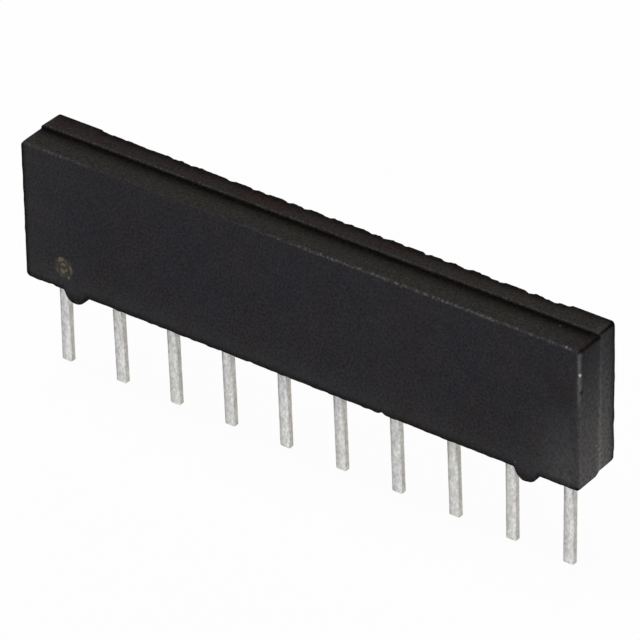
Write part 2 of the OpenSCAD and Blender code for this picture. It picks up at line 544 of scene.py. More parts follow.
@dataclass(frozen=True)
class DullTin:
    """Dull tin plate: finely mottled pale grey, with darker and warmer sheared sides."""

    dark: Colour = (0.50, 0.50, 0.495)
    pale: Colour = (0.71, 0.705, 0.695)
    side: Colour = (0.615, 0.59, 0.555)
    side_green: Colour = (0.587, 0.585, 0.525)
    blotch: float = 0.085 * MM
    cloud: float = 0.28 * MM
    stain: float = 0.9 * MM
    front: Colour = (1.0, 0.992, 1.0)
    front_green: Colour = (1.0, 1.0, 0.98)
    cloud_levels: Span = (0.90, 1.09)
    rough_levels: Span = (0.5, 0.38)
    grain_depth: float = 0.004 * MM
    grain_bump: float = 0.35
    metallic: float = 0.85

    def material(self) -> bpy.types.Material:
        """Builds the material."""
        board = Board("dull_tin")
        blotch = board.noise(self.blotch, detail=3.0, stretch=(1.0, 1.0, 0.6))
        cloud = board.noise(self.cloud, stretch=(1.3, 1.0, 0.4), offset=4.0 * MM)
        colour = board.mix(board.span(blotch, MIDDLE, UNIT), self.dark, self.pale)
        colour = board.times(colour, board.span(cloud, MIDDLE, self.cloud_levels))
        # Painted light and shade of the leads.
        colour = board.times(colour, board.mark(Mark.TONE))
        film = board.noise(self.stain, stretch=(1.0, 1.0, 0.5), offset=6.0 * MM)
        stain = board.span(film, NARROW, UNIT)
        front = board.mix(stain, self.front, self.front_green)
        tint = board.mix(board.mark(Mark.SIDE), front, board.mix(stain, self.side, self.side_green))
        board.feed(board.shader.inputs["Base Color"], board.mix(1.0, colour, tint, "MULTIPLY"))
        board.feed(board.shader.inputs["Roughness"], board.span(blotch, MIDDLE, self.rough_levels))
        board.shader.inputs["Metallic"].default_value = self.metallic
        board.bump(blotch, self.grain_depth, self.grain_bump)
        return board.material


@dataclass(frozen=True)
class FiredPrint:
    """A fired or cast layer inside the moulding: one colour with a fine grain."""

    name: str
    colour: Colour
    roughness: float
    metallic: float = 0.0
    grain: float = 0.06 * MM
    grain_levels: Span = (0.88, 1.08)
    grain_depth: float = 0.002 * MM
    grain_bump: float = 0.2

    def material(self) -> bpy.types.Material:
        """Builds the material."""
        board = Board(self.name)
        fine = board.noise(self.grain, detail=3.0)
        colour = board.times(self.colour, board.span(fine, MIDDLE, self.grain_levels))
        board.feed(board.shader.inputs["Base Color"], colour)
        board.shader.inputs["Roughness"].default_value = self.roughness
        board.shader.inputs["Metallic"].default_value = self.metallic
        board.bump(fine, self.grain_depth, self.grain_bump)
        return board.material


@dataclass(frozen=True)
class EdgeWearAndPaintedLight:
    """How the block's edges are worn and chipped, with painted highlights, painted shade, painted light and a
    painted warm tint.
    """

    # Front half.
    # Wear and painted highlights along the front top edge and the upper right edge.
    top_wear_and_glint: Band = Band(0.045 * MM, 1.0)
    top_wear_and_glint_mm: Curve = Curve((-12.5, -10.2, -9.0, -2.5, 0.8, 12.0, 12.4),
                               (0.65, 0.6, 0.12, 0.12, 0.9, 0.85, 0.6))
    right_wear_and_glint: Band = Band(0.07 * MM, 1.0)
    right_wear_and_glint_rise: Fade = Fade((0.6, 0.8), (0.4, 1.2))
    # Painted shade on the ledge next to the parting step, and along the left edge.
    ledge_shade: Band = Band(0.40 * MM, 1.05)
    ledge_drop: float = 6.0
    ledge_end: Fade = Fade((0.0, 0.6 * MM), (0.6, 1.0))
    left_shade: Band = Band(0.12 * MM, 0.75)
    # Painted light on the front face towards the right end and its lower corner, at the left end and along
    # the underside.
    right_painted_light: Band = Band(1.5 * MM, 0.24)
    right_painted_light_rise: Fade = Fade((0.65, 0.15))
    right_painted_light_gap: Band = Band(0.3 * MM, 0.4)
    left_painted_light: Band = Band(2.0 * MM, 0.037)
    foot_painted_light: Band = Band(0.8 * MM, 0.055)
    top_nibble: Band = Band(0.07 * MM, 0.02 * MM)
    top_noise: Ragged = Ragged(0.13 * MM, 21, 2.0)
    right_nick: Band = Band(0.06 * MM, 0.02 * MM)
    right_noise: Ragged = Ragged(0.2 * MM, 22)
    slip: Fade = Fade((1.0 * MM, 0.0))
    blunt_corner: Band = Band(0.14 * MM, 0.03 * MM)
    left_fray: Band = Band(0.1 * MM, 0.014 * MM)
    left_noise: Ragged = Ragged(0.3 * MM, 24, 1.5)
    # Rear half.
    # Wear and painted highlight along the rear half's front top edge.
    rim_wear_and_glint: Band = Band(0.045 * MM, 0.5)
    # Painted shade along the broken gate at the rear top edge and along the right rear edge.
    gate_shade: Band = Band(0.26 * MM, 1.2)
    gate_drop: float = 3.0
    gate_ends: float = 0.75
    gate_lip: Fade = Fade((0.0, 0.1 * MM), (0.3, 1.0))
    gate_uneven: float = 0.3
    gate_noise: Ragged = Ragged(0.1 * MM, 33)
    rear_shade: Band = Band(0.3 * MM, 0.75)
    rear_left_wear: Band = Band(0.06 * MM, 0.7)
    rear_foot_wear: Band = Band(0.05 * MM, 0.5)
    # Painted light at the left end and along the underside of the rear face.
    rear_left_painted_light: Band = Band(1.8 * MM, 0.12)
    rear_left_painted_light_rise: Fade = Fade((0.8, 0.1))
    rear_foot_painted_light: Band = Band(0.9 * MM, 0.05)
    # Nicks in the right rear edge, with painted shade in them.
    rear_nick: Band = Band(0.1 * MM, 0.045 * MM)
    rear_nick_shade: Band = Band(0.12 * MM, 0.7)
    rear_noise: Ragged = Ragged(0.3 * MM, 23, 1.5)
    # Both halves.
    # Wear and painted highlight along the parting line of the ends, a painted glint low on it, and painted
    # light on the ends, brightest towards the bottom.
    parting_wear_and_glint: Band = Band(0.035 * MM, 0.6)
    parting_wear_and_glint_rise: Curve = Curve((0.05, 0.25, 1.0), (0.2, 0.8, 0.4))
    parting_glint: Band = Band(0.09 * MM, 0.45)
    parting_glint_rise: Curve = Curve((0.08, 0.3, 0.9), (1.4, 0.8, 0.3))
    end_painted_light: Band = Band(0.25 * MM, 1.0)
    end_front: Curve = Curve((0.1, 0.95), (0.57, 0.04))
    end_rear: Curve = Curve((0.1, 0.95), (0.69, 0.13))
    end_lip: float = 0.3
    far_end_painted_light: Band = Band(0.25 * MM, 0.4)
    far_end_rise: Curve = Curve((0.1, 0.95), (1.0, 0.1))
    corner_painted_light: Band = Band(0.06 * MM, 0.4)
    corner_painted_light_rise: Fade = Fade((0.55, 0.75))
    painted_light_scale: float = 0.764
    # Painted shade along the top and bottom edges of the ends and along the underside.
    end_top_shade: Band = Band(0.1 * MM, 0.85)
    end_foot_shade: Band = Band(0.1 * MM, 0.7)
    foot_shade: Band = Band(0.17 * MM, 0.7)
    foot_fray: Band = Band(0.1 * MM, 0.015 * MM)
    foot_noise: Ragged = Ragged(0.25 * MM, 41, 2.0)
    low_chip: Band = Band(0.1 * MM, 1.0)
    low_chips_mm: tuple[Span, ...] = ((-11.25, 0.05), (-3.4, 0.03), (-2.1, 0.04), (3.82, 0.085))
    # Painted warm light on the tops, browner along the painted shade of the rear rim.
    warm_tint_level: float = 0.5
    warm_tint_end: Band = Band(0.8 * MM, 0.35)
    warm_tint_along: Fade = Fade((1.0 * MM, 12.0 * MM), (0.0, 0.22))
    warm_tint_face: Band = Band(0.55 * MM, 0.28)
    warm_tint_corner: Band = Band(0.3 * MM, 0.5)


@dataclass
class Edges:
    """Stations of a half's points and their distances from its edges, with their rise from 0 to 1."""

    x: np.ndarray
    z: np.ndarray
    d: np.ndarray
    top: np.ndarray
    face: np.ndarray
    right: np.ndarray
    left: np.ndarray
    rise: np.ndarray


@dataclass
class MouldedBody:
    """The moulded block: two drafted halves that meet at the parting plane, with half-round stand-offs."""

    low: Vector
    high: Vector
    parting_y: float
    standoff_x: float
    lift: float = 0.125 * MM
    standoff_h: float = 0.45 * MM
    standoff_r: float = 0.5 * MM
    foot_soft: float = 0.03 * MM
    draft_deg: float = 1.0
    top_draft_deg: float = 0.1
    lean: float = 0.05 * MM
    front_drop: float = 0.05 * MM
    edge_r: float = 0.05 * MM
    corner_r: float = 0.17 * MM
    lip_r: float = 0.02 * MM
    flash: float = 0.012 * MM
    front_slip: float = 0.03 * MM
    station: float = 0.05 * MM
    fine_station: float = 0.025 * MM
    gate_mid: float = 0.12 * MM
    gate_half: float = 10.42 * MM
    gate_soft: float = 0.1 * MM
    gate_width: Curve = Curve((-9.0 * MM, -4.0 * MM), (0.10 * MM, 0.137 * MM))
    gate_h: float = 0.14 * MM
    gate_reach: float = 0.3 * MM
    tear: Ragged = Ragged(0.13 * MM, 31, 1.5)
    tear_share: float = 0.2
    chip: Band = Band(0.15 * MM, 0.55)
    chips_mm: tuple[float, ...] = (-8.15, -6.9, -6.15, -4.3, -3.25, -2.7, -1.7, -1.0, 0.05, 0.8, 2.0, 2.5,
                                   3.45, 4.4, 5.25, 6.1, 7.3, 7.65, 8.85, 9.6, 9.95)
    step_soft: float = 0.95
    step_depth: Fade = Fade((0.16 * MM, 0.0))
    step_end: Fade = Fade((0.95, 1.0))
    step_rise: Fade = Fade((0.1, 0.0))
    corner_band: float = 1.5
    standoff_band: float = 1.3
    edge_rows_mm: tuple[float, ...] = (0.0, 0.02, 0.04, 0.06, 0.09, 0.13, 0.19, 0.27, 0.38)
    face_margin: float = 0.55 * MM
    face_rows: int = 20
    lip_rings: tuple[Triple, ...] = ((0.0, 1.0, 0.6), (0.3, 0.8, 0.2))
    near_rings_mm: Span = (0.08, 0.2)
    middle_rings_mm: Span = (0.35, 0.25)
    far_rings_mm: tuple[float, ...] = (0.16, 0.10, 0.05, 0.0)
    edge_steps: int = 4
    top_skin: float = 0.01 * MM
    sharp_deg: float = 40.0
    wear_and_painted_light: EdgeWearAndPaintedLight = EdgeWearAndPaintedLight()

    def __post_init__(self) -> None:
        """Works out the sizes that follow from the box."""
        self.length = self.high.x - self.low.x
        self.height = self.high.z - self.lift - self.standoff_h
        self.depths = {Half.FRONT: self.parting_y - self.low.y, Half.REAR: self.high.y - self.parting_y}
        self.xs = self.x_stations()
        self.zs = self.z_stations()

    def x_stations(self) -> np.ndarray:
        """Places of the cross sections along X: close together at the ends and at the stand-offs."""
        half = self.length / 2
        reach = self.standoff_band * self.standoff_r
        corner = self.corner_band * self.corner_r
        bands = [(-half, -half + corner), (half - corner, half)]
        bands += [(side * self.standoff_x - reach, side * self.standoff_x + reach) for side in (-1, 1)]
        coarse = np.linspace(-half, half, int(self.length / self.station) + 1)
        keep = np.ones(len(coarse), bool)
        fine = []
        for start, end in bands:
            keep &= (coarse < start - self.fine_station) | (coarse > end + self.fine_station)
            fine.append(np.linspace(start, end, int((end - start) / self.fine_station) + 1))
        return np.sort(np.concatenate([coarse[keep], *fine]))

    def z_stations(self) -> np.ndarray:
        """Heights of the rows on the faces, measured from the underside: close together at both edges."""
        edge = np.array(self.edge_rows_mm) * MM
        middle = np.linspace(self.face_margin, self.height - self.face_margin, self.face_rows)
        return np.concatenate([edge, middle, (self.height - edge)[::-1]])

    def sleeve(self, depth: float) -> list[Triple]:
        """Rings from the parting plane to the outer face.

        Args:
            depth: Depth of this mould half.

        Returns:
            For each ring, its depth and how far it lies inside the full outline at the ends and at the top.
        """
        slope, top_slope = (math.tan(math.radians(deg)) for deg in (self.draft_deg, self.top_draft_deg))
        rings = [(at * self.lip_r, -out * self.flash, down * self.lip_r) for at, out, down in self.lip_rings]
        end = depth - self.edge_r
        first, last = (ring * MM for ring in self.middle_rings_mm)
        straight = [self.lip_r, 2.0 * self.lip_r, *(ring * MM for ring in self.near_rings_mm)]
        straight += list(np.linspace(first, end - last, 3))
        straight += [end - ring * MM for ring in self.far_rings_mm]
        rings += [(d, d * slope, d * top_slope) for d in straight]
        for angle in np.radians(np.linspace(0.0, 90.0, self.edge_steps + 1)[1:]):
            cut_in = self.edge_r * (1.0 - math.cos(angle))
            out = end + self.edge_r * math.sin(angle)
            rings.append((out, end * slope + cut_in, end * top_slope + cut_in))
        return rings

    def outline(self) -> np.ndarray:
        """Loop of (x, z) stations round one half, starting at the low end of the underside."""
        bottom = [(x, 0.0) for x in self.xs]
        right = [(self.xs[-1], z) for z in self.zs[1:-1]]
        top = [(x, self.height) for x in self.xs[::-1]]
        left = [(self.xs[0], z) for z in self.zs[-2:0:-1]]
        return np.array(bottom + right + top + left)

    def inset(self, flat: np.ndarray, end_inset: float, top_inset: float) -> np.ndarray:
        """Draws (x, z) stations in from the full outline and rounds its four corners.

        Args:
            flat: Stations on or inside the full outline.
            end_inset: Distance in from each end.
            top_inset: Distance in from the top and the underside.

        Returns:
            The moved stations, as x and z.
        """
        half = np.array([self.length / 2, self.height / 2])
        reach = half - np.array([end_inset, top_inset])
        centred = (flat - np.array([0.0, half[1]])) * (reach / half)
        past = np.maximum(np.abs(centred) - (reach - self.corner_r), 0.0)
        both = (past > 0.0).all(axis=1)
        share = np.ones(len(flat))
        share[both] = past[both].max(axis=1) / np.linalg.norm(past[both], axis=1)
        rounded = np.minimum(np.abs(centred), reach - self.corner_r) + past * share[:, None]
        moved = np.where(both[:, None], np.sign(centred) * rounded, centred)
        return moved + np.array([0.0, half[1]])

    def bulge(self, x: np.ndarray) -> np.ndarray:
        """How far the stand-offs hang below the underside at each x, with softened feet."""
        step = 0.005 * MM
        grid = np.arange(-self.length / 2, self.length / 2 + step, step)
        depth = np.zeros_like(grid)
        for side in (-1, 1):
            away = np.clip(np.abs(grid - side * self.standoff_x), 0.0, self.standoff_r)
            arc = np.sqrt(self.standoff_r**2 - away**2)
            depth = np.maximum(depth, arc - (self.standoff_r - self.standoff_h))
        spread = np.arange(-3 * self.foot_soft, 3 * self.foot_soft + step, step)
        weight = np.exp(-((spread / self.foot_soft) ** 2))
        soft = np.convolve(depth, weight / weight.sum(), mode="same")
        return np.interp(x, grid, np.minimum(soft * self.standoff_h / soft.max(), self.standoff_h))

    def half_mesh(self, half: Half) -> dict[str, np.ndarray]:
        """Points of one mould half, open at the parting plane.

        Args:
            half: Which half.

        Returns:
            Base stations x, z and depth d of every point, and the points themselves.
        """
        depth = self.depths[half]
        loop = self.outline()
        rings = self.sleeve(depth)
        inner = np.array([(x, z) for x in self.xs[1:-1] for z in self.zs[1:-1]])
        sleeve = [self.inset(loop, end, top) for _, end, top in rings]
        flat = np.concatenate(sleeve + [self.inset(inner, *rings[-1][1:])])
        base = np.concatenate([loop] * len(rings) + [inner])
        d = np.concatenate([np.full(len(loop), ring[0]) for ring in rings] + [np.full(len(inner), depth)])
        rise, along = base[:, 1] / self.height, 2.0 * base[:, 0] / self.length
        x = flat[:, 0] + self.lean * (0.5 - rise + 0.5 * along)
        z = flat[:, 1] - self.bulge(x) * ramp(base[:, 1], self.standoff_r, 0.0)
        raised = self.standoff_h + (self.lift if half is Half.REAR else 0.0)
        if half is Half.FRONT:
            under_end = self.step_depth.on(d) * self.step_end.on(np.abs(along)) * self.step_rise.on(rise)
            z += self.step_soft * self.lift * under_end
            z -= self.front_drop * (0.5 + 0.5 * along) * (1.0 - rise) * d / depth
        points = np.stack([x, self.parting_y + half.value * d, np.maximum(z + raised, 0.0)], axis=1)
        return {"x": base[:, 0], "z": base[:, 1], "d": d, "points": points}

    def half_faces(self, half: Half, start: int) -> list[Face]:
        """Faces of one mould half.

        Args:
            half: Which half.
            start: Number of its first point in the whole mesh.

        Returns:
            Vertex numbers of each face, wound to look outwards.
        """
        count = len(self.outline())
        rings = len(self.sleeve(self.depths[half]))
        columns, rows = len(self.xs), len(self.zs)
        last = start + (rings - 1) * count
        inner = start + rings * count

        def cap(i: int, j: int) -> int:
            """Number of the point in column i and row j of the outer face."""
            if j == 0:
                return last + i
            if i == columns - 1:
                return last + columns - 1 + j
            if j == rows - 1:
                return last + columns + rows - 2 + (columns - 1 - i)
            if i == 0:
                return last + 2 * columns + rows - 2 + (rows - 2 - j)
            return inner + (i - 1) * (rows - 2) + (j - 1)

        faces = tube_faces(start, rings, count)
        for i in range(columns - 1):
            for j in range(rows - 1):
                faces.append((cap(i, j), cap(i + 1, j), cap(i + 1, j + 1), cap(i, j + 1)))
        return faces if half is Half.FRONT else [face[::-1] for face in faces]

    def edges(self, half: Half, part: dict[str, np.ndarray]) -> Edges:
        """Distances of one half's points from its edges.

        Args:
            half: Which half.
            part: The half's stations and points.

        Returns:
            The stations and the distances.
        """
        x, z, d = part["x"], part["z"], part["d"]
        end = self.length / 2
        return Edges(x, z, d, self.height - z, self.depths[half] - d, end - x, end + x, z / self.height)

    def break_gate(self, at: Edges, points: np.ndarray) -> np.ndarray:
        """Breaks the rough facet into the rear top edge, moving points.

        Args:
            at: Distances of the rear half's points from its edges.
            points: The rear half's points.

        Returns:
            1 along the facet and 0 beyond its ends.
        """
        away = np.abs(at.x - self.gate_mid)
        inside = ramp(away, self.gate_half + self.gate_soft, self.gate_half - self.gate_soft)
        torn = self.tear_share * self.tear.on(at.x)
        for chip_mm in self.chips_mm:
            torn += self.chip.on(at.x - chip_mm * MM)
        broken = 1.0 + torn
        share = np.clip(1.0 - at.face / (self.gate_width.on(at.x) * broken), 0.0, 1.0)
        share *= np.clip(1.0 - at.top / self.gate_reach, 0.0, 1.0)
        points[:, 2] -= inside * self.gate_h * broken * share
        return inside

    def mark_front_edges(self, at: Edges, points: np.ndarray) -> dict[Mark, np.ndarray]:
        """Marks the front half's own edges, moving points: wear with painted highlights, painted shade and
        painted light.

        Args:
            at: Distances of the front half's points from its edges.
            points: The front half's points.

        Returns:
            Wear with painted highlights, painted shade and painted light of each point.
        """
        wear_and_painted_light = self.wear_and_painted_light
        # Wear with painted highlights along the front top edge and the right edge.
        wear_and_highlight = wear_and_painted_light.top_wear_and_glint.on(at.top + at.face) * wear_and_painted_light.top_wear_and_glint_mm.on(at.x / MM)
        wear_and_highlight += wear_and_painted_light.right_wear_and_glint.on(at.right + at.face) * wear_and_painted_light.right_wear_and_glint_rise.on(at.rise)
        # Painted shade on the ledge by the parting step and along the left edge.
        shade = wear_and_painted_light.ledge_shade.on(at.d + wear_and_painted_light.ledge_drop * at.top) * wear_and_painted_light.ledge_end.on(at.right)
        shade += wear_and_painted_light.left_shade.on(at.left + at.face)
        # Painted light towards the right end and its lower corner, at the left end and along the underside.
        painted_light = wear_and_painted_light.right_painted_light.on(at.right) * wear_and_painted_light.right_painted_light_rise.on(at.rise)
        painted_light *= 1.0 - wear_and_painted_light.right_painted_light_gap.on(at.right)
        painted_light += wear_and_painted_light.left_painted_light.on(at.left) + wear_and_painted_light.foot_painted_light.on(at.z)
        points[:, 2] -= wear_and_painted_light.top_nibble.on(at.top + at.face) * wear_and_painted_light.top_noise.bites(at.x)
        points[:, 0] -= wear_and_painted_light.right_nick.on(at.right + at.face) * wear_and_painted_light.right_noise.bites(at.z)
        points[:, 0] -= self.front_slip * wear_and_painted_light.slip.on(at.left)
        blunt = wear_and_painted_light.blunt_corner.on(at.left + at.top + at.face)
        points[:, 0] += blunt + wear_and_painted_light.left_fray.on(at.left + at.face) * wear_and_painted_light.left_noise.on(at.z)
        points[:, 2] -= blunt
        return {Mark.WEAR: wear_and_highlight, Mark.SHADE: shade, Mark.RUB: np.where(at.face < self.edge_r, painted_light, 0.0)}

    def mark_rear_edges(self, at: Edges, points: np.ndarray) -> dict[Mark, np.ndarray]:
        """Marks the rear half's own edges and breaks its gate, moving points: wear with painted highlights,
        painted shade and painted light.

        Args:
            at: Distances of the rear half's points from its edges.
            points: The rear half's points.

        Returns:
            Wear with painted highlights, painted shade and painted light of each point.
        """
        wear_and_painted_light = self.wear_and_painted_light
        inside = self.break_gate(at, points)
        # Painted shade along the broken gate and the right rear edge, and in the nicks.
        back = np.maximum(at.face - self.gate_width.on(at.x) * inside, 0.0) + wear_and_painted_light.gate_drop * at.top
        shade = wear_and_painted_light.gate_shade.on(back) * (wear_and_painted_light.gate_ends + (1.0 - wear_and_painted_light.gate_ends) * inside)
        shade *= wear_and_painted_light.gate_lip.on(at.face) * (1.0 + wear_and_painted_light.gate_uneven * wear_and_painted_light.gate_noise.on(at.x))
        shade += wear_and_painted_light.rear_shade.on(at.right + at.face)
        nicked = wear_and_painted_light.rear_noise.bites(at.z)
        shade += wear_and_painted_light.rear_nick_shade.on(at.right + at.face) * nicked
        points[:, 0] -= wear_and_painted_light.rear_nick.on(at.right + at.face) * nicked
        wear_and_highlight = wear_and_painted_light.rim_wear_and_glint.on(at.d + at.top)
        wear_and_highlight += wear_and_painted_light.rear_left_wear.on(at.left + at.face) + wear_and_painted_light.rear_foot_wear.on(at.z + at.face)
        # Painted light at the left end and along the underside.
        painted_light = wear_and_painted_light.rear_left_painted_light.on(at.left) * wear_and_painted_light.rear_left_painted_light_rise.on(at.rise) + wear_and_painted_light.rear_foot_painted_light.on(at.z)
        return {Mark.WEAR: wear_and_highlight, Mark.SHADE: shade, Mark.RUB: np.where(at.face < self.edge_r, painted_light, 0.0)}

    def mark_ends(self, half: Half, at: Edges, marks: dict[Mark, np.ndarray]) -> None:
        """Adds the wear with painted highlights, the painted light and the painted shade at the ends and the
        underside, which both halves have.

        Args:
            half: Which half.
            at: Distances of the half's points from its edges.
            marks: Wear with painted highlights, painted shade and painted light of each point so far.
        """
        wear_and_painted_light = self.wear_and_painted_light
        parting = at.d + at.right
        lip = ramp(at.face, 0.0, self.edge_r)
        end_rise = wear_and_painted_light.end_front if half is Half.FRONT else wear_and_painted_light.end_rear
        # Painted light on the ends, brightest towards the bottom, and a painted glint low on the parting
        # line.
        painted_light = wear_and_painted_light.end_painted_light.on(at.right) * end_rise.on(at.rise) * (wear_and_painted_light.end_lip + (1.0 - wear_and_painted_light.end_lip) * lip)
        painted_light += wear_and_painted_light.far_end_painted_light.on(at.left) * wear_and_painted_light.far_end_rise.on(at.rise) * lip
        if half is Half.FRONT:
            painted_light += wear_and_painted_light.corner_painted_light.on(at.right + at.face) * wear_and_painted_light.corner_painted_light_rise.on(at.rise)
        painted_light = np.maximum(marks[Mark.RUB], painted_light)
        painted_light += wear_and_painted_light.parting_glint.on(parting) * wear_and_painted_light.parting_glint_rise.on(at.rise)
        marks[Mark.RUB] = wear_and_painted_light.painted_light_scale * painted_light
        # Wear with painted highlight along the parting line of the ends.
        marks[Mark.WEAR] += wear_and_painted_light.parting_wear_and_glint.on(parting) * wear_and_painted_light.parting_wear_and_glint_rise.on(at.rise)
        # Painted shade along the top and bottom edges of the ends and along the underside.
        marks[Mark.SHADE] += wear_and_painted_light.end_top_shade.on(at.right + at.top)
        marks[Mark.SHADE] += wear_and_painted_light.end_foot_shade.on(at.right + at.z)
        marks[Mark.SHADE] += wear_and_painted_light.foot_shade.on(at.z + at.face)

    def warm_tint(self, half: Half, at: Edges) -> np.ndarray:
        """Warm tint on the top of one half: painted warm light, browner at the ledge's right end and along
        the painted shade of the rear rim.

        Args:
            half: Which half.
            at: Distances of the half's points from its edges.

        Returns:
            0 where it is untinted, up to 0.5 for the pale warm tint and up to 1 for the brown tint.
        """
        wear_and_painted_light = self.wear_and_painted_light
        if half is Half.FRONT:
            level = wear_and_painted_light.warm_tint_level + wear_and_painted_light.warm_tint_end.on(at.right)
        else:
            level = wear_and_painted_light.warm_tint_level + wear_and_painted_light.warm_tint_along.on(at.right) + wear_and_painted_light.warm_tint_face.on(at.face)
        warm_tint = np.where(at.top < self.top_skin, level * ramp(at.face, 0.0, self.edge_r), 0.0)
        return warm_tint if half is Half.FRONT else np.maximum(warm_tint, wear_and_painted_light.warm_tint_corner.on(at.right + at.face))

    def mark_edges(self, half: Half, part: dict[str, np.ndarray]) -> dict[Mark, np.ndarray]:
        """Chips the edges of one half, moving its points, and paints their wear, highlights, shade and light.

        Args:
            half: Which half.
            part: The half's stations and points.

        Returns:
            The values of the point attributes.
        """
        at, points, wear_and_painted_light = self.edges(half, part), part["points"], self.wear_and_painted_light
        marks = self.mark_front_edges(at, points) if half is Half.FRONT else self.mark_rear_edges(at, points)
        self.mark_ends(half, at, marks)
        marks[Mark.DUST] = self.warm_tint(half, at)
        points[:, 2] += wear_and_painted_light.foot_fray.on(at.z + at.face) * wear_and_painted_light.foot_noise.on(at.x)
        for chip_mm, depth_mm in wear_and_painted_light.low_chips_mm:
            chip = wear_and_painted_light.low_chip.on(at.z + at.face) * wear_and_painted_light.low_chip.on(at.x - chip_mm * MM)
            points[:, 2] += chip * depth_mm * MM
        return {mark: np.clip(value, 0.0, 1.0) for mark, value in marks.items()}

    def build(self, epoxy: MouldedEpoxy, pin_one: PinOneMark) -> bpy.types.Object:
        """Makes the dressed body in place of its solid.

        Args:
            epoxy: The body's finish.
            pin_one: The mark beside lead 1.

        Returns:
            The new piece.
        """
        parts = {half: self.half_mesh(half) for half in Half}
        marks = {half: self.mark_edges(half, part) for half, part in parts.items()}
        second = len(parts[Half.FRONT]["points"])
        faces = self.half_faces(Half.FRONT, 0) + self.half_faces(Half.REAR, second)
        count = len(self.outline())
        for i in range(count):
            after = (i + 1) % count
            faces.append((second + i, second + after, after, i))
        points = np.concatenate([parts[half]["points"] for half in Half])
        piece = mesh_piece("moulded_block", points, faces, self.sharp_deg)
        for mark in marks[Half.FRONT]:
            set_mark(piece, mark, np.concatenate([marks[half][mark] for half in Half]))
        piece.data.materials.append(epoxy.material(pin_one, self.low.y + self.edge_r))
        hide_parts("moulded_body")
        return piece


